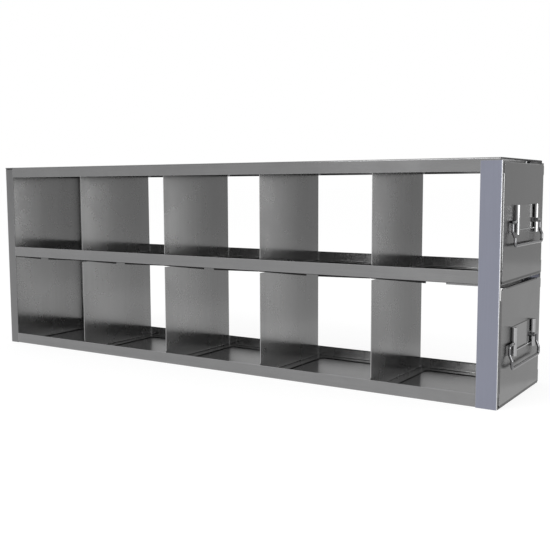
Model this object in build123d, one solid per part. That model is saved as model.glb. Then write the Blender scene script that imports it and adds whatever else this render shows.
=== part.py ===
"""Upright-freezer drawer rack.

An open-sided sheet-steel housing carries two sliding drawers, one above the other. Each drawer is a
tray with a pierced floor, four fixed dividers, a rear panel and a front panel. A label holder on the
front panel carries a wire bail that swings up as the pull handle.

Frame: +X is the way a drawer is pulled, Y runs across the rack and Z is up. The origin is the middle
of the housing's underside, halfway between the rear panel and the front faces of the front posts.
"""

import os

from build123d import *

TIER_NAMES = ("lower", "upper")    # one drawer in each tier

# Housing
LENGTH = 700.0              # rear panel's outer face to the front posts' outer face
RAIL_WIDTH = 141.0          # across the outside of the side rails
TIER_CLEAR = 120.5          # clear height from one shelf to the underside of the next
HOUSING_SHEET = 1.0         # shelves and rear panel
HOUSING_BEND = 1.5          # outer radius of the housing's folds
RAIL_HEIGHT = 13.3          # side rail, measured from the shelf's flat side
REAR_FLANGE = 14.5          # rear panel's side flange, which is the rear corner post
REAR_FLANGE_DROP = 1.5      # the flange stops this far under the top shelf
SHELF_SETBACK = 2.0         # rails end this far behind the posts' front faces

# Front posts
POST_WIDTH = 21.3           # along the rack
POST_FLANGE = 3.0           # turned in across the front
POST_SHEET = 1.0
POST_BEND = 1.6             # outer radius of the post's fold
POST_DROP = 3.0             # the post ends this far under the housing's top

# Lips under the middle shelf's rails, deepening to a break at the middle of each compartment
LIP_DEPTH = 1.8             # at the break
LIP_SHALLOW = 0.5           # at the dividers
LIP_SHEET = 0.8
LIP_INSET = 0.8             # behind the rail's outer face
LIP_BREAK = 15.0

# Drawer stops, flat bars under the middle and top shelves
STOP_FRONT = 14.0           # from the posts' front faces to the stop's front end
STOP_LENGTH = 41.5
STOP_WIDTH = 13.0
STOP_THICKNESS = 1.7
STOP_CORNER = 3.0           # corner radius, seen from below

# Drawer
DRAWER_SHEET = 0.8
DRAWER_BEND = 1.6           # outer radius of the drawer's folds
FRONT_TOP_GAP = 3.2         # front panel's top to the shelf above
DIVIDER_TOP_GAP = 1.0       # dividers' and rear panel's top to the shelf above
GLIDE_GAP = 0.3             # tray's underside to the shelf it slides on
SIDE_GAP = 0.5              # tray to the posts' front flanges
REAR_GAP = 1.8              # drawer's rear panel to the housing's rear panel
TRAY_WALL = 11.0            # height of the tray's side walls
COMPARTMENTS = 5
DIVIDER_PITCH = 140.6
DIVIDER_MIDDLE = 1.3        # X of the middle of the row of dividers
DIVIDER_SIDE_GAP = 0.9      # divider to the inside of the tray's side walls
DIVIDER_FOOT = 12.0         # spot-welded to the tray's floor
NOTCH_WIDTH = 12.5          # divider's top corners, cut back to pass the drawer stops
NOTCH_DEPTH = 1.5           # the rear panel's turned edges are cut back as far
FLOOR_BORDER = 12.3         # floor left standing round each opening
FLOOR_SIDE = 12.3           # floor left standing along each tray wall
FLOOR_CORNER = 5.0          # corner radius of the floor's openings
REAR_RETURN = 6.0           # rear panel's turned-in side edges

# Front panel
FRONT_GAP = 0.3             # posts' front faces to the panel's back
FRONT_INSET = 0.5           # panel's side edges, in from the tray's sides
FRONT_LIFT = 0.7            # panel's bottom edge above the tray's underside
FRONT_CORNER = 4.0          # radius of the panel's top corners
FRONT_RETURN = 9.0          # side returns, from the panel's outer face
RETURN_START = 13.0         # side returns start above the panel's bottom edge
RETURN_END = 11.5           # and end below its top edge
TOP_RETURN = 12.0           # turned back along the top edge
TOP_RETURN_INSET = 13.5     # and ends this far in from the panel's side edges

# Label holder
HOLDER_WIDTH = 70.0
HOLDER_SHEET = 0.8
HOLDER_BEND = 0.9           # outer radius at the ledge and at the foot of each channel
CHANNEL_BEND = 2.4          # outer radius of the channels' curl
HOLDER_DEPTH = 5.2          # how far the channels stand out from the panel
HOLDER_ABOVE = 16.5         # from the bail's pivot up
HOLDER_BELOW = 12.5         # from the pivot down, at the channels
LEDGE_BELOW = 8.5           # from the pivot down to the label's ledge
LEDGE_DEPTH = 2.4
CHANNEL_WIDTH = 5.0
LABEL_GAP = 1.2             # from the plate to the channels' turned-in edge
PIVOT_SLOT = 4.4            # gap in the channels at the pivot

# Wire bail
WIRE = 3.0                  # diameter
PIVOT_CLEARANCE = 0.15      # radial, in the holder's holes
PIVOT_END = 32.6            # Y of the wire's ends, inside the channels
ARM_Y = 46.8                # the arms, at the ends of the grip
GRIP_DROP = 23.0            # from the pivot down to the grip's axis
GRIP_OUT = 2.7              # from the pivot out to the grip's axis
KNEE_TOP = 9.0              # from the pivot down to the start of the arm's outward step
KNEE_BOTTOM = 15.5          # and to its end
WIRE_BEND = 3.2             # radius of the wire's axis at its corners

# Places worked out from the sizes above
FRONT_X = LENGTH / 2
REAR_X = -LENGTH / 2
SHELF_PITCH = TIER_CLEAR + HOUSING_SHEET
HEIGHT = len(TIER_NAMES) * SHELF_PITCH + HOUSING_SHEET
SHELF_FRONT = FRONT_X - SHELF_SETBACK
REAR_INSIDE = REAR_X + HOUSING_SHEET
RAIL_Y = RAIL_WIDTH / 2
POST_Y = RAIL_Y + POST_SHEET
RAIL_START = REAR_X + REAR_FLANGE
TRAY_Y = POST_Y - POST_FLANGE - SIDE_GAP
TRAY_INSIDE_Y = TRAY_Y - DRAWER_SHEET
DIVIDER_Y = TRAY_INSIDE_Y - DIVIDER_SIDE_GAP
DIVIDER_HEIGHT = TIER_CLEAR - GLIDE_GAP - DIVIDER_TOP_GAP
FRONT_Y = TRAY_Y - FRONT_INSET
FRONT_HEIGHT = TIER_CLEAR - GLIDE_GAP - FRONT_TOP_GAP
DRAWER_REAR = REAR_INSIDE + REAR_GAP
REAR_FACE = DRAWER_REAR + DRAWER_SHEET
PANEL_BACK = FRONT_X + FRONT_GAP
PANEL_FACE = PANEL_BACK + DRAWER_SHEET
PIVOT_X = PANEL_FACE + HOLDER_DEPTH / 2
STOP_REAR = FRONT_X - STOP_FRONT - STOP_LENGTH


def folded(points, radius, sheet):
    """Face of a folded sheet whose outer side follows the points; the sheet lies on their left."""
    line = FilletPolyline(*points, radius=radius)
    return make_face(line.wire().offset_2d(sheet, side=Side.LEFT).edges())


def block(x, y, z):
    """Box between the given (low, high) pairs."""
    size = [high - low for low, high in (x, y, z)]
    return Pos(x[0], y[0], z[0]) * Box(*size, align=(Align.MIN, Align.MIN, Align.MIN))


def along_x(profile, start, end):
    """Profile drawn as (Y, Z), made solid from X = start to X = end."""
    return Pos(start, 0, 0) * extrude(Plane.YZ * profile, end - start)


def along_y(profile, half):
    """Profile drawn as (X, Z), made solid by half to either side of Y = 0."""
    return Pos(0, half, 0) * extrude(Plane.XZ * profile, 2 * half)


def along_z(profile, bottom, top):
    """Profile drawn as (X, Y), made solid from Z = bottom to Z = top."""
    return Pos(0, 0, bottom) * extrude(profile, top - bottom)


def both_sides(low, high):
    """The (low, high) span in Y, mirrored to the near side and as it is on the far side."""
    return ((-high, -low), (low, high))


def divider_x(index):
    """X of a divider's front face; dividers count from 0 at the rear."""
    steps = index - (COMPARTMENTS - 2) / 2
    return DIVIDER_MIDDLE + steps * DIVIDER_PITCH + DRAWER_SHEET / 2


def compartment_spans():
    """(rear, front) X of each compartment, from the rear panel to the front panel."""
    faces = [divider_x(index) for index in range(COMPARTMENTS - 1)]
    starts = [REAR_FACE] + faces
    ends = [face - DRAWER_SHEET for face in faces] + [PANEL_BACK]
    return list(zip(starts, ends))


def tier_floor(tier):
    """Z of a drawer tray's underside."""
    return tier * SHELF_PITCH + HOUSING_SHEET + GLIDE_GAP


def pivot_z(tier):
    """Z of a bail's pivot, at mid height of the front panel."""
    return tier_floor(tier) + (FRONT_LIFT + FRONT_HEIGHT) / 2


def railed_shelf():
    """Shelf with both side rails turned up, clear of the rear panel's flanges."""
    corners = [(-RAIL_Y, RAIL_HEIGHT), (-RAIL_Y, 0), (RAIL_Y, 0), (RAIL_Y, RAIL_HEIGHT)]
    return along_x(folded(corners, HOUSING_BEND, HOUSING_SHEET), RAIL_START, SHELF_FRONT)


def shelf_tongue():
    """Flat rear end of a shelf, between the rear panel's flanges."""
    inside = RAIL_Y - HOUSING_BEND
    return block((REAR_INSIDE, RAIL_START), (-inside, inside), (0, HOUSING_SHEET))


def shelf_nose():
    """Flat front end of a shelf, between the front posts' flanges."""
    return block((SHELF_FRONT, FRONT_X), (-TRAY_Y, TRAY_Y), (0, HOUSING_SHEET))


def shelf_lips():
    """Lips under the middle shelf's rails, from each divider down to a break at mid compartment."""
    runs = []
    for rear, front in compartment_spans():
        middle = (rear + front) / 2
        runs += [(max(rear, RAIL_START), middle - LIP_BREAK / 2), (front, middle + LIP_BREAK / 2)]
    runs.pop()    # the stop is there instead
    outer = RAIL_Y - LIP_INSET
    lips = []
    for end, tip in runs:
        corners = [(end, HOUSING_SHEET), (end, -LIP_SHALLOW), (tip, -LIP_DEPTH), (tip, HOUSING_SHEET)]
        lip = make_face(Polyline(*corners, close=True))
        lips.append(along_y(lip, outer) - along_y(lip, outer - LIP_SHEET))
    return lips


def housing_bottom():
    return railed_shelf() + shelf_tongue() + shelf_nose()


def mid_shelf():
    return Pos(0, 0, SHELF_PITCH) * (railed_shelf() + shelf_tongue() + shelf_nose() + shelf_lips())


def housing_top():
    """Top shelf with its rails turned down; its flat rear end covers the rear panel."""
    cover = block((REAR_X, RAIL_START), (-RAIL_Y, RAIL_Y), (-HOUSING_SHEET, 0))
    return Pos(0, 0, HEIGHT) * (Rot(180, 0, 0) * railed_shelf() + cover)


def rear_panel():
    """Rear end of the housing with the side flanges that make the rear corner posts."""
    corners = [(RAIL_START, RAIL_Y), (REAR_X, RAIL_Y), (REAR_X, -RAIL_Y), (RAIL_START, -RAIL_Y)]
    top = HEIGHT - HOUSING_SHEET
    panel = along_z(folded(corners, HOUSING_BEND, HOUSING_SHEET), 0, top)
    relief = block((REAR_X + HOUSING_BEND, RAIL_START), (-RAIL_Y, RAIL_Y), (top - REAR_FLANGE_DROP, top))
    return panel - relief


def front_post(side):
    """Angle post over the outside of the rails."""
    corners = [(FRONT_X - POST_WIDTH, -POST_Y), (FRONT_X, -POST_Y), (FRONT_X, POST_FLANGE - POST_Y)]
    post = along_z(folded(corners, POST_BEND, POST_SHEET), 0, HEIGHT - POST_DROP)
    return post if side == "near" else mirror(post, about=Plane.XZ)


def drawer_stop(side, tier):
    """Flat bar under a shelf; the top edge of the drawer's rear panel runs against its rear end."""
    bar = extrude(RectangleRounded(STOP_LENGTH, STOP_WIDTH, STOP_CORNER), -STOP_THICKNESS)
    middle_y = RAIL_Y - HOUSING_BEND - STOP_WIDTH / 2
    across = -middle_y if side == "near" else middle_y
    return Pos(STOP_REAR + STOP_LENGTH / 2, across, (tier + 1) * SHELF_PITCH) * bar


def tray(tier):
    """Drawer tray with low side walls and one large opening in the floor of each compartment."""
    corners = [(-TRAY_Y, TRAY_WALL), (-TRAY_Y, 0), (TRAY_Y, 0), (TRAY_Y, TRAY_WALL)]
    body = along_x(folded(corners, DRAWER_BEND, DRAWER_SHEET), DRAWER_REAR, PANEL_BACK)
    opening_y = 2 * (TRAY_INSIDE_Y - FLOOR_SIDE)
    for rear, front in compartment_spans():
        outline = RectangleRounded(front - rear - 2 * FLOOR_BORDER, opening_y, FLOOR_CORNER)
        body -= Pos((rear + front) / 2, 0, 0) * extrude(outline, DRAWER_SHEET)
    return Pos(0, 0, tier_floor(tier)) * body


def divider(tier, index):
    """Full-height divider on a foot, with its top corners cut back to pass the drawer stops."""
    face, half = divider_x(index), DIVIDER_Y
    corners = [(face - DIVIDER_FOOT, DRAWER_SHEET), (face, DRAWER_SHEET), (face, DIVIDER_HEIGHT)]
    plate = along_y(folded(corners, DRAWER_BEND, DRAWER_SHEET), half)
    for across in both_sides(half - NOTCH_WIDTH, half):
        plate -= block((face - DRAWER_SHEET, face), across, (DIVIDER_HEIGHT - NOTCH_DEPTH, DIVIDER_HEIGHT))
    return Pos(0, 0, tier_floor(tier)) * plate


def drawer_rear(tier):
    """Drawer's rear panel with its side edges turned forward, cut back at the top to pass the stops."""
    half, tip = TRAY_Y - DRAWER_BEND, DRAWER_REAR + REAR_RETURN
    corners = [(tip, half), (DRAWER_REAR, half), (DRAWER_REAR, -half), (tip, -half)]
    panel = along_z(folded(corners, DRAWER_BEND, DRAWER_SHEET), DRAWER_SHEET, DIVIDER_HEIGHT)
    for across in both_sides(half - DRAWER_BEND, half):
        panel -= block((REAR_FACE, tip), across, (DIVIDER_HEIGHT - NOTCH_DEPTH, DIVIDER_HEIGHT))
    return Pos(0, 0, tier_floor(tier)) * panel


def front_panel(tier):
    """Drawer front: a flat face with rounded top corners, side returns and a return along the top."""
    half, bottom, top = FRONT_Y, FRONT_LIFT, FRONT_HEIGHT
    outline = make_face(Polyline((-half, bottom), (half, bottom), (half, top), (-half, top), close=True))
    outline = fillet(outline.vertices().group_by(Axis.Y)[-1], FRONT_CORNER)
    face = along_x(outline, PANEL_BACK, PANEL_FACE)

    back, low, high = PANEL_FACE - FRONT_RETURN, bottom + RETURN_START, top - RETURN_END
    corners = [(back, -half), (PANEL_FACE, -half), (PANEL_FACE, half), (back, half)]
    face -= block((back, PANEL_FACE), (-half, half), (low, high))
    face += along_z(folded(corners, DRAWER_BEND, DRAWER_SHEET), low, high)

    lip, start = half - TOP_RETURN_INSET, top - 2 * DRAWER_BEND
    corners = [(PANEL_FACE, start), (PANEL_FACE, top), (PANEL_FACE - TOP_RETURN, top)]
    face -= block((PANEL_BACK, PANEL_FACE), (-lip, lip), (start, top))
    face += along_y(folded(corners, DRAWER_BEND, DRAWER_SHEET), lip)
    return Pos(0, 0, tier_floor(tier)) * face


def label_holder(tier):
    """Plate with a curled channel at each side, a ledge for the label and holes for the bail."""
    half, out = HOLDER_WIDTH / 2, PANEL_FACE + HOLDER_DEPTH
    inner, edge = half - CHANNEL_WIDTH, PANEL_FACE + HOLDER_SHEET + LABEL_GAP
    corners = [(edge, inner), (out, inner), (out, half), (PANEL_FACE, half)]
    corners += [(x, -y) for x, y in reversed(corners)]
    radii = [CHANNEL_BEND, CHANNEL_BEND, HOLDER_BEND]
    plate = along_z(folded(corners, radii + radii[::-1], HOLDER_SHEET), -HOLDER_BELOW, HOLDER_ABOVE)
    plate -= block((PANEL_FACE, PANEL_FACE + HOLDER_SHEET), (-inner, inner), (-HOLDER_BELOW, -LEDGE_BELOW))

    fold = 2 * HOLDER_BEND - LEDGE_BELOW
    corners = [(PANEL_FACE, fold), (PANEL_FACE, -LEDGE_BELOW), (PANEL_FACE + LEDGE_DEPTH, -LEDGE_BELOW)]
    plate -= block((PANEL_FACE, PANEL_FACE + HOLDER_SHEET), (-inner, inner), (-LEDGE_BELOW, fold))
    plate += along_y(folded(corners, HOLDER_BEND, HOLDER_SHEET), inner)

    slot = (-PIVOT_SLOT / 2, PIVOT_SLOT / 2)
    for across in both_sides(inner, half - CHANNEL_WIDTH / 2):
        plate -= block((edge, out), across, slot)
    hole = Cylinder(WIRE / 2 + PIVOT_CLEARANCE, HOLDER_WIDTH, rotation=(90, 0, 0))
    return Pos(0, 0, pivot_z(tier)) * (plate - Pos(PIVOT_X, 0, 0) * hole)


def round_wire(paths, radius):
    """Round wire along joined paths of straight runs and arcs, with a ball at each joint between them."""
    runs = [Pos(path @ 0) * Sphere(radius) for path in paths[1:]]
    for run in [edge for path in paths for edge in path.edges()]:
        section = Plane(origin=run @ 0, z_dir=run % 0) * Circle(radius)
        if run.geom_type == GeomType.LINE:
            runs.append(extrude(section, run.length))
        else:
            turn = Axis(run.arc_center, (run % 0).cross(run % 1))
            runs.append(revolve(section, turn, (run % 0).get_angle(run % 1)))
    return runs[0].fuse(*runs[1:])


def bail(tier):
    """Wire pull: inturned ends in the holder's holes, arms that step outward, and a straight grip."""
    pin = [(0, PIVOT_END, 0), (0, ARM_Y, 0), (0, ARM_Y, -KNEE_TOP)]
    low = [(GRIP_OUT, ARM_Y, -KNEE_BOTTOM), (GRIP_OUT, ARM_Y, -GRIP_DROP)]
    mirrored_pin, mirrored_low = ([(x, -y, z) for x, y, z in reversed(half)] for half in (pin, low))
    paths = [FilletPolyline(*pin, radius=WIRE_BEND), Line(pin[-1], low[0])]
    paths += [FilletPolyline(*low, *mirrored_low, radius=WIRE_BEND)]
    paths += [Line(mirrored_low[-1], mirrored_pin[0]), FilletPolyline(*mirrored_pin, radius=WIRE_BEND)]
    return Pos(PIVOT_X, 0, pivot_z(tier)) * round_wire(paths, WIRE / 2)


def housing_nodes():
    nodes = {"housing_bottom": housing_bottom(), "mid_shelf": mid_shelf(), "housing_top": housing_top()}
    nodes["rear_panel"] = rear_panel()
    for side in ("near", "far"):
        nodes[f"front_post_{side}"] = front_post(side)
        for tier, name in enumerate(TIER_NAMES):
            nodes[f"{name}_stop_{side}"] = drawer_stop(side, tier)
    return nodes


def drawer_nodes(tier, name):
    nodes = {f"{name}_tray": tray(tier), f"{name}_rear": drawer_rear(tier)}
    for index in range(COMPARTMENTS - 1):
        nodes[f"{name}_divider_{index + 1}"] = divider(tier, index)
    nodes[f"{name}_front"] = front_panel(tier)
    nodes[f"{name}_label_holder"] = label_holder(tier)
    nodes[f"{name}_bail"] = bail(tier)
    return nodes


all_nodes = housing_nodes()
for tier_index, tier_name in enumerate(TIER_NAMES):
    all_nodes |= drawer_nodes(tier_index, tier_name)

os.makedirs("parts", exist_ok=True)
for node_name, solid in all_nodes.items():
    export_step(solid, f"parts/{node_name}.step")
    print(node_name, round(solid.volume, 1))
travel = STOP_REAR - REAR_FACE
print("drawer travel to the stop", round(travel, 2), "height", HEIGHT)
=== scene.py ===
import math

import bpy
from mathutils import Matrix, Vector

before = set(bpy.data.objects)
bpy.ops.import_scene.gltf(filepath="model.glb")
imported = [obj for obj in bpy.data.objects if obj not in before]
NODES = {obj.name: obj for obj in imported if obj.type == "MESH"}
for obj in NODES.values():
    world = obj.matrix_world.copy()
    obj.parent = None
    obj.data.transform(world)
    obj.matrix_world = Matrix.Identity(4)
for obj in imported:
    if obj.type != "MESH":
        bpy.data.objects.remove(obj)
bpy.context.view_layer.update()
MM = 0.001

# The view: where the camera stands, in mm, and how it is turned, in degrees
VIEW_FROM = (600.1, -857.0, 216.7)
VIEW_TURN = 32.734          # turned left of straight across the rack
VIEW_DROP = 5.998           # looking down
VIEW_ROLL = 0.191
VIEW_WIDTH = 550.0          # frame width, in the same unit as the focal length
VIEW_FOCAL = 839.7
SENSOR = 36.0

# Finishes, and painted light and shade, as linear colours
HOUSING_TONE = (0.235, 0.235, 0.237)
REAR_TONE = (0.200, 0.200, 0.202)
POST_TONE = (0.262, 0.272, 0.330)
FOLD_HIGHLIGHT_TONE = (0.560, 0.560, 0.565)       # painted highlight on the front posts' folded front edge
TRAY_TONE = (0.225, 0.225, 0.225)
WALL_HIGHLIGHT_TONE = (0.540, 0.540, 0.540)       # painted highlight: the tray's side walls, lighter than its floor
FOOT_HIGHLIGHT_TONE = (0.900, 0.900, 0.900)       # painted highlight on the tray's floor along each divider's foot
DIVIDER_TONE = (0.225, 0.225, 0.225)
NEAR_LIGHT_TONE = (0.385, 0.385, 0.385)     # painted light: a divider's side, lighter towards its near edge
FRONT_TONE = (0.172, 0.172, 0.172)
# painted highlight on the label holder's rolled channels
CHANNEL_HIGHLIGHT_TONE = (0.420, 0.420, 0.425)
WIRE_TONE = (0.180, 0.180, 0.185)
# painted highlight along sheared edges and folds
EDGE_HIGHLIGHT_TONE = (0.780, 0.785, 0.800)
# painted shade: black, for gaps, lips and edges that stand in for shadow
PAINTED_SHADE_TONE = (0.020, 0.020, 0.020)

# Where the finishes and the painted light and shade change, as (axis, start, full) in mm; beyond() says what
# the axes mean
# painted shade: past this the shelves' front noses are painted black
NOSE_SHADE = ("X", 347.6, 348.0)
# painted shade: below this the mid shelf's lip under the rail is painted black
LIP_SHADE = ("Z", 122.1, 121.8)
POST_FOLD = ("X", 349.3, 349.7)
POST_FACE = ("SIDE", 70.4, 69.9)
TRAY_SIDE = ("SIDE", 66.6, 67.0)
FOOT_HIGHLIGHT = ("CELL", 1.7, 1.3)
NEAR_LIGHT = ("Y", 45.0, -60.0)
CHANNEL = ("X", 352.6, 353.4)
SHELF_PITCH = 121.5         # from one drawer up to the next
TRAY_CUT_SHADE = (2.05, 1.95)     # heights over which the tray's floor turns into painted shade, black over its cut edge
SILL_SHADE = (4.0, 3.5)           # and the front panel's lower edge into painted shade, a black line
FIRST_DIVIDER = -209.2      # front face of the rearmost divider
DIVIDER_PITCH = 140.6

# Grain, wear from handling, and the band painted along edges
DRAWN = 0.02                # the grain's scale along its own direction
FINE_GRAIN = 1400.0         # noise scales, per metre
BROAD_GRAIN = 160.0
CLOUDS = 22.0
EDGE_REACH = 0.45           # width of the band painted along a sheared edge or fold, as painted highlight or painted shade, in mm
GRAIN_DEPTH = 0.01          # in mm
GRAIN_STRENGTH = 0.03
ROUGH_SWING = 0.015         # how far clouds move the roughness either way
OFF_AXIS = 0.04             # keeps the grain's direction defined on faces that it meets head on

# Studio: lengths in mm
FLOOR_TONE = (0.900, 0.900, 0.900)
FLOOR_ROUGH = 0.9
FLOOR_HALF = 60000.0
FLOOR_GLOW = 1.1            # the floor, to the camera and in reflections
FLOOR_SHARE = 0.75          # how much of it is glow; the rest takes shadows
SWEEP_GLOW = 0.80           # the floor's far part in reflections, where it runs up into the backdrop
SWEEP_NORMAL = (0.909, 0.416, 0.0)
SWEEP_START = 358.0         # how far along that direction the far part starts
SWEEP_SOFT = 8.0
SKY_LIGHT = 0.75            # the backdrop's strength as light, and as seen in reflections
SKY_MIRRORED = 0.78
KEY_LAMP = {"place": (-400, -1500, 1500), "aim": (0, 0, 120), "size": 900, "power": 12.0}
SIDE_LAMP = {"place": (1500, -500, 330), "aim": (300, 0, 120), "size": 600, "power": 8.0}
FLAG_SPAN = (450, 6000)     # where the grey card starts and ends along X
FLAG_BACK = 1500            # its place along Y, behind the rack
FLAG_TOP = 2500
FLAG_GLOW = 0.58


# ---------------------------------------------------------------- node helpers

def new_group(name, inputs, outputs):
    """Shader group with named sockets; inputs are (kind, name, default) and outputs (kind, name)."""
    tree = bpy.data.node_groups.new(name, "ShaderNodeTree")
    for kind, label, default in inputs:
        socket = tree.interface.new_socket(label, in_out="INPUT", socket_type=kind)
        if default is not None:
            socket.default_value = default
    for kind, label in outputs:
        tree.interface.new_socket(label, in_out="OUTPUT", socket_type=kind)
    return tree, tree.nodes.new("NodeGroupInput"), tree.nodes.new("NodeGroupOutput")


def math_node(tree, operation, first, second=None):
    """Math node; a number or a socket may stand for either input."""
    node = tree.nodes.new("ShaderNodeMath")
    node.operation = operation
    for socket, value in zip(node.inputs, (first, second)):
        if isinstance(value, (int, float)):
            socket.default_value = value
        elif value is not None:
            tree.links.new(value, socket)
    return node.outputs[0]


def map_range(tree, value, low, high, to_low=0.0, to_high=1.0):
    """Smooth step from one pair of limits to another; the limits may be sockets."""
    node = tree.nodes.new("ShaderNodeMapRange")
    node.interpolation_type = "SMOOTHSTEP"
    tree.links.new(value, node.inputs["Value"])
    limits = {"From Min": low, "From Max": high, "To Min": to_low, "To Max": to_high}
    for label, number in limits.items():
        if isinstance(number, (int, float)):
            node.inputs[label].default_value = number
        else:
            tree.links.new(number, node.inputs[label])
    return node.outputs["Result"]


def noise(tree, vector, scale, detail, roughness):
    """Noise over a vector, from 0 to 1."""
    node = tree.nodes.new("ShaderNodeTexNoise")
    node.inputs["Scale"].default_value = scale
    node.inputs["Detail"].default_value = detail
    node.inputs["Roughness"].default_value = roughness
    tree.links.new(vector, node.inputs["Vector"])
    return node.outputs["Fac"]


# ---------------------------------------------------------------- shared effects

def brushed_grain_group():
    """Rolled and brushed grain: streaks drawn out along one axis, and soft clouds from handling."""
    tree, given, out = new_group(
        "brushed_grain",
        [("NodeSocketVector", "Vector", None), ("NodeSocketVector", "Stretch", (1.0, 1.0, 1.0))],
        [("NodeSocketFloat", "Streak"), ("NodeSocketFloat", "Cloud"), ("NodeSocketFloat", "Height")],
    )
    stretch = tree.nodes.new("ShaderNodeVectorMath")
    stretch.operation = "MULTIPLY"
    tree.links.new(given.outputs["Vector"], stretch.inputs[0])
    tree.links.new(given.outputs["Stretch"], stretch.inputs[1])
    drawn = stretch.outputs[0]
    fine = math_node(tree, "MULTIPLY", noise(tree, drawn, FINE_GRAIN, 3.0, 0.65), 0.6)
    broad = math_node(tree, "MULTIPLY", noise(tree, drawn, BROAD_GRAIN, 3.0, 0.6), 0.4)
    both = math_node(tree, "ADD", fine, broad)
    cloud = noise(tree, given.outputs["Vector"], CLOUDS, 4.0, 0.6)
    tree.links.new(map_range(tree, both, 0.32, 0.68), out.inputs["Streak"])
    tree.links.new(map_range(tree, cloud, 0.30, 0.70), out.inputs["Cloud"])
    tree.links.new(both, out.inputs["Height"])
    return tree


def cut_edge_group():
    """Mask of sheared sheet edges and tight folds, where the surface turns within a short reach."""
    tree, given, out = new_group(
        "cut_edge",
        [
            ("NodeSocketFloat", "Reach", None),
            ("NodeSocketFloat", "Start", 0.05),
            ("NodeSocketFloat", "Full", 0.25),
        ],
        [("NodeSocketFloat", "Mask")],
    )
    bevel = tree.nodes.new("ShaderNodeBevel")
    bevel.samples = 4
    tree.links.new(given.outputs["Reach"], bevel.inputs["Radius"])
    surface = tree.nodes.new("ShaderNodeNewGeometry")
    dot = tree.nodes.new("ShaderNodeVectorMath")
    dot.operation = "DOT_PRODUCT"
    tree.links.new(bevel.outputs["Normal"], dot.inputs[0])
    tree.links.new(surface.outputs["Normal"], dot.inputs[1])
    turn = math_node(tree, "SUBTRACT", 1.0, dot.outputs["Value"])
    mask = map_range(tree, turn, given.outputs["Start"], given.outputs["Full"])
    tree.links.new(mask, out.inputs["Mask"])
    return tree


GRAIN = brushed_grain_group()
CUT_EDGE = cut_edge_group()


# ---------------------------------------------------------------- materials

def mixed(tree, mask, under, over):
    """Colour between two; each is a socket or a plain colour."""
    mix = tree.nodes.new("ShaderNodeMix")
    mix.data_type = "RGBA"
    tree.links.new(mask, mix.inputs["Factor"])
    for label, value in (("A", under), ("B", over)):
        if isinstance(value, tuple):
            mix.inputs[label].default_value = (*value, 1.0)
        else:
            tree.links.new(value, mix.inputs[label])
    return mix.outputs["Result"]


def beyond(tree, place, axis, start, full):
    """1 where the place along an axis has passed from start to full, in mm; either may be the larger.

    The axis SIDE is the distance from the middle plane, so that both sides of the rack match. The axis CELL is
    the distance in front of the next divider behind.
    """
    split = tree.nodes.new("ShaderNodeSeparateXYZ")
    tree.links.new(place, split.inputs[0])
    if axis == "SIDE":
        where = math_node(tree, "ABSOLUTE", split.outputs["Y"])
    elif axis == "CELL":
        ahead = math_node(tree, "SUBTRACT", split.outputs["X"], FIRST_DIVIDER * MM)
        where = math_node(tree, "FLOORED_MODULO", ahead, DIVIDER_PITCH * MM)
    else:
        where = split.outputs[axis]
    low, high = sorted((start, full))
    order = (0.0, 1.0) if start < full else (1.0, 0.0)
    return map_range(tree, where, low * MM, high * MM, *order)


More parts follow.
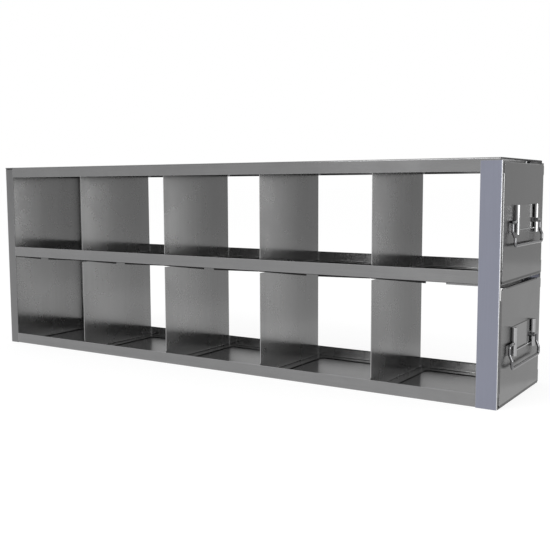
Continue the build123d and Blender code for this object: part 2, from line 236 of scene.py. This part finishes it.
def brushed_steel(
    name, tone, along, rough, blur=0.95, streak=0.03, cloud=0.03, edge=0.6, edge_tone=EDGE_HIGHLIGHT_TONE, zones=(),
):
    """Brushed steel with its grain along one axis, blurred across the grain, and sheared edges and folds
    painted in edge_tone: painted highlight when it is light, painted shade when dark.

    Streak and cloud are how far each moves the tone either way. Each zone is (place, tone), where a place is
    (axis, start, full): past it the steel takes the zone's tone.
    """
    material = bpy.data.materials.new(name)
    material.use_nodes = True
    tree = material.node_tree
    shader = tree.nodes["Principled BSDF"]
    shader.inputs["Metallic"].default_value = 1.0
    shader.inputs["Anisotropic"].default_value = blur

    place = tree.nodes.new("ShaderNodeTexCoord").outputs["Object"]
    grain = tree.nodes.new("ShaderNodeGroup")
    grain.node_tree = GRAIN
    grain.inputs["Stretch"].default_value = [DRAWN if axis == along else 1.0 for axis in "XYZ"]
    tree.links.new(place, grain.inputs["Vector"])
    # sheared edges and folds get a painted band in edge_tone: painted highlight when light, painted shade when
    # dark
    painted_edge = tree.nodes.new("ShaderNodeGroup")
    painted_edge.node_tree = CUT_EDGE
    painted_edge.inputs["Reach"].default_value = EDGE_REACH * MM
    mask = math_node(tree, "MULTIPLY", painted_edge.outputs["Mask"], edge)
    colour = mixed(tree, mask, tone, edge_tone)
    for zone, zone_tone in zones:
        colour = mixed(tree, beyond(tree, place, *zone), colour, zone_tone)

    light = map_range(tree, grain.outputs["Streak"], 0.0, 1.0, 1.0 - streak, 1.0 + streak)
    veil = map_range(tree, grain.outputs["Cloud"], 0.0, 1.0, 1.0 - cloud, 1.0 + cloud)
    shade = tree.nodes.new("ShaderNodeVectorMath")
    shade.operation = "SCALE"
    tree.links.new(colour, shade.inputs[0])
    tree.links.new(math_node(tree, "MULTIPLY", light, veil), shade.inputs["Scale"])
    tree.links.new(shade.outputs[0], shader.inputs["Base Color"])
    haze = map_range(tree, grain.outputs["Cloud"], 0.0, 1.0, rough - ROUGH_SWING, rough + ROUGH_SWING)
    tree.links.new(haze, shader.inputs["Roughness"])

    relief = tree.nodes.new("ShaderNodeBump")
    relief.inputs["Strength"].default_value = GRAIN_STRENGTH
    relief.inputs["Distance"].default_value = GRAIN_DEPTH * MM
    tree.links.new(grain.outputs["Height"], relief.inputs["Height"])
    tree.links.new(relief.outputs["Normal"], shader.inputs["Normal"])

    surface = tree.nodes.new("ShaderNodeNewGeometry")
    across = tree.nodes.new("ShaderNodeVectorMath")
    across.operation = "CROSS_PRODUCT"
    across.inputs[1].default_value = [1.0 if axis == along else OFF_AXIS for axis in "XYZ"]
    tree.links.new(surface.outputs["Normal"], across.inputs[0])
    tree.links.new(across.outputs[0], shader.inputs["Tangent"])
    return material


def dress(material, *names):
    """Gives CAD nodes their finish."""
    for name in names:
        mesh = NODES[name].data
        mesh.materials.clear()
        mesh.materials.append(material)


finish = {
    # the shelves' front noses and the mid shelf's lip under the rail are painted black: painted shade
    "bottom": brushed_steel("bottom_satin", HOUSING_TONE, "X", 0.22, zones=[(NOSE_SHADE, PAINTED_SHADE_TONE)]),
    "middle": brushed_steel("middle_satin", HOUSING_TONE, "X", 0.22, zones=[(LIP_SHADE, PAINTED_SHADE_TONE)]),
    "top": brushed_steel("top_satin", HOUSING_TONE, "X", 0.22, zones=[(NOSE_SHADE, PAINTED_SHADE_TONE)]),
    "rear": brushed_steel("rear_satin", REAR_TONE, "Z", 0.30),
    # the posts' folded front edge carries a painted highlight
    "post": brushed_steel(
        "post_satin", POST_TONE, "Z", 0.48, blur=0.3, streak=0.02, cloud=0.01,
        zones=[(POST_FOLD, FOLD_HIGHLIGHT_TONE), (POST_FACE, FRONT_TONE)],
    ),
    # the label holder's rolled channels carry a painted highlight; its sheared edges and folds are painted
    # dark, painted shade
    "holder": brushed_steel(
        "holder_bright", FRONT_TONE, "Z", 0.14, blur=0.2, edge_tone=PAINTED_SHADE_TONE, zones=[(CHANNEL, CHANNEL_HIGHLIGHT_TONE)],
    ),
    "wire": brushed_steel("wire_polished", WIRE_TONE, "Y", 0.10, blur=0.0, streak=0.02, cloud=0.02, edge=0.0),
}
for rise, tier in ((0.0, "lower"), (SHELF_PITCH, "upper")):
    # heights of the painted shade on each tier's tray cut edge and front panel's lower edge
    cut, sill_shade = (("Z", rise + start, rise + full) for start, full in (TRAY_CUT_SHADE, SILL_SHADE))
    # the tray's cut edge and its sheared edges and folds are painted black, painted shade; its side walls and
    # the floor along each divider's foot are painted lighter, painted highlight
    finish[f"{tier}_tray"] = brushed_steel(
        f"{tier}_tray_satin", TRAY_TONE, "X", 0.14, edge_tone=PAINTED_SHADE_TONE,
        zones=[(TRAY_SIDE, WALL_HIGHLIGHT_TONE), (FOOT_HIGHLIGHT, FOOT_HIGHLIGHT_TONE), (cut, PAINTED_SHADE_TONE)],
    )
    # the dividers are painted lighter towards their near edge: painted light
    finish[f"{tier}_divider"] = brushed_steel(
        f"{tier}_divider_satin", DIVIDER_TONE, "Z", 0.27, blur=1.0, zones=[(NEAR_LIGHT, NEAR_LIGHT_TONE)],
    )
    finish[f"{tier}_front"] = brushed_steel(
        f"{tier}_front_satin", FRONT_TONE, "Z", 0.20, zones=[(sill_shade, PAINTED_SHADE_TONE)],
    )

dress(finish["bottom"], "housing_bottom")
dress(finish["middle"], "mid_shelf")
dress(finish["top"], "housing_top")
dress(finish["rear"], "rear_panel")
dress(finish["post"], "front_post_near", "front_post_far")
for tier in ("lower", "upper"):
    dress(finish["top"], f"{tier}_stop_near", f"{tier}_stop_far")
    dress(finish[f"{tier}_tray"], f"{tier}_tray")
    dress(finish[f"{tier}_divider"], f"{tier}_rear", *(f"{tier}_divider_{place}" for place in range(1, 5)))
    dress(finish[f"{tier}_front"], f"{tier}_front")
    dress(finish["holder"], f"{tier}_label_holder")
    dress(finish["wire"], f"{tier}_bail")


# ---------------------------------------------------------------- studio

def seen_white(tree):
    """1 for rays that show the backdrop: the camera's own, and those that metal or glass sends on."""
    rays = tree.nodes.new("ShaderNodeLightPath")
    mirror = math_node(tree, "MAXIMUM", rays.outputs["Is Glossy Ray"], rays.outputs["Is Transmission Ray"])
    return math_node(tree, "MAXIMUM", rays.outputs["Is Camera Ray"], mirror)


def studio_floor():
    """Pale floor that runs out to the horizon and keeps a faint shadow."""
    half = FLOOR_HALF * MM
    mesh = bpy.data.meshes.new("studio_floor")
    corners = [(-half, -half, 0.0), (half, -half, 0.0), (half, half, 0.0), (-half, half, 0.0)]
    mesh.from_pydata(corners, [], [(0, 1, 2, 3)])
    floor = bpy.data.objects.new("studio_floor", mesh)
    bpy.context.scene.collection.objects.link(floor)
    material = bpy.data.materials.new("studio_floor")
    material.use_nodes = True
    tree = material.node_tree
    shader = tree.nodes["Principled BSDF"]
    shader.inputs["Base Color"].default_value = (*FLOOR_TONE, 1.0)
    shader.inputs["Roughness"].default_value = FLOOR_ROUGH
    glow = tree.nodes.new("ShaderNodeEmission")
    glow.inputs["Color"].default_value = (1.0, 1.0, 1.0, 1.0)
    place = tree.nodes.new("ShaderNodeTexCoord").outputs["Object"]
    offset = tree.nodes.new("ShaderNodeVectorMath")
    offset.operation = "DOT_PRODUCT"
    offset.inputs[1].default_value = SWEEP_NORMAL
    tree.links.new(place, offset.inputs[0])
    limits = ((SWEEP_START - SWEEP_SOFT) * MM, (SWEEP_START + SWEEP_SOFT) * MM)
    far = map_range(tree, offset.outputs["Value"], *limits)
    rays = tree.nodes.new("ShaderNodeLightPath")
    dim = math_node(tree, "MULTIPLY", far, rays.outputs["Is Glossy Ray"])
    tree.links.new(map_range(tree, dim, 0.0, 1.0, FLOOR_GLOW, SWEEP_GLOW), glow.inputs["Strength"])
    blend = tree.nodes.new("ShaderNodeMixShader")
    tree.links.new(math_node(tree, "MULTIPLY", seen_white(tree), FLOOR_SHARE), blend.inputs["Fac"])
    tree.links.new(shader.outputs["BSDF"], blend.inputs[1])
    tree.links.new(glow.outputs["Emission"], blend.inputs[2])
    tree.links.new(blend.outputs["Shader"], tree.nodes["Material Output"].inputs["Surface"])
    mesh.materials.append(material)


def studio_world():
    """Even soft light and a white backdrop, a little greyer in reflections."""
    world = bpy.data.worlds.new("studio")
    bpy.context.scene.world = world
    world.use_nodes = True
    tree = world.node_tree
    sky = tree.nodes["Background"]
    sky.inputs["Color"].default_value = (1.0, 1.0, 1.0, 1.0)
    rays = tree.nodes.new("ShaderNodeLightPath")
    dim = math_node(tree, "MULTIPLY", rays.outputs["Is Glossy Ray"], 1.0 - SKY_MIRRORED)
    white = map_range(tree, seen_white(tree), 0.0, 1.0, SKY_LIGHT, 1.0)
    tree.links.new(math_node(tree, "SUBTRACT", white, dim), sky.inputs["Strength"])


def soft_box(name, place, aim, size, power):
    """Square area lamp, in mm, turned towards a point."""
    lamp = bpy.data.lights.new(name, "AREA")
    lamp.shape = "SQUARE"
    lamp.size = size * MM
    lamp.energy = power
    stand = bpy.data.objects.new(name, lamp)
    start = Vector(place) * MM
    turn = (Vector(aim) * MM - start).to_track_quat("-Z", "Y").to_matrix().to_4x4()
    stand.matrix_world = Matrix.Translation(start) @ turn
    bpy.context.scene.collection.objects.link(stand)


def grey_flag():
    """Upright grey card behind the rack, which only reflections see."""
    material = bpy.data.materials.new("back_flag")
    material.use_nodes = True
    tree = material.node_tree
    glow = tree.nodes.new("ShaderNodeEmission")
    glow.inputs["Strength"].default_value = FLAG_GLOW
    tree.links.new(glow.outputs["Emission"], tree.nodes["Material Output"].inputs["Surface"])
    tree.nodes.remove(tree.nodes["Principled BSDF"])
    left, right = FLAG_SPAN
    corners = ((left, 0), (right, 0), (right, FLAG_TOP), (left, FLAG_TOP))
    mesh = bpy.data.meshes.new("back_flag")
    mesh.from_pydata([Vector((along, FLAG_BACK, up)) * MM for along, up in corners], [], [(0, 1, 2, 3)])
    mesh.materials.append(material)
    card = bpy.data.objects.new("back_flag", mesh)
    card.visible_camera = card.visible_diffuse = card.visible_shadow = False
    bpy.context.scene.collection.objects.link(card)


def studio_camera():
    """Camera for the three-quarter view of the rack."""
    lens = bpy.data.cameras.new("view")
    lens.sensor_width = SENSOR
    lens.lens = VIEW_FOCAL / VIEW_WIDTH * SENSOR
    lens.clip_start = 0.01
    camera = bpy.data.objects.new("view", lens)
    turn = Matrix.Rotation(math.radians(VIEW_TURN), 4, "Z")
    drop = Matrix.Rotation(math.radians(90.0 - VIEW_DROP), 4, "X")
    roll = Matrix.Rotation(math.radians(-VIEW_ROLL), 4, "Z")
    camera.matrix_world = Matrix.Translation([value * MM for value in VIEW_FROM]) @ turn @ drop @ roll
    bpy.context.scene.collection.objects.link(camera)
    bpy.context.scene.camera = camera


studio_floor()
studio_world()
soft_box("key", **KEY_LAMP)
soft_box("side", **SIDE_LAMP)
grey_flag()
studio_camera()
bpy.context.scene.view_settings.view_transform = "Standard"
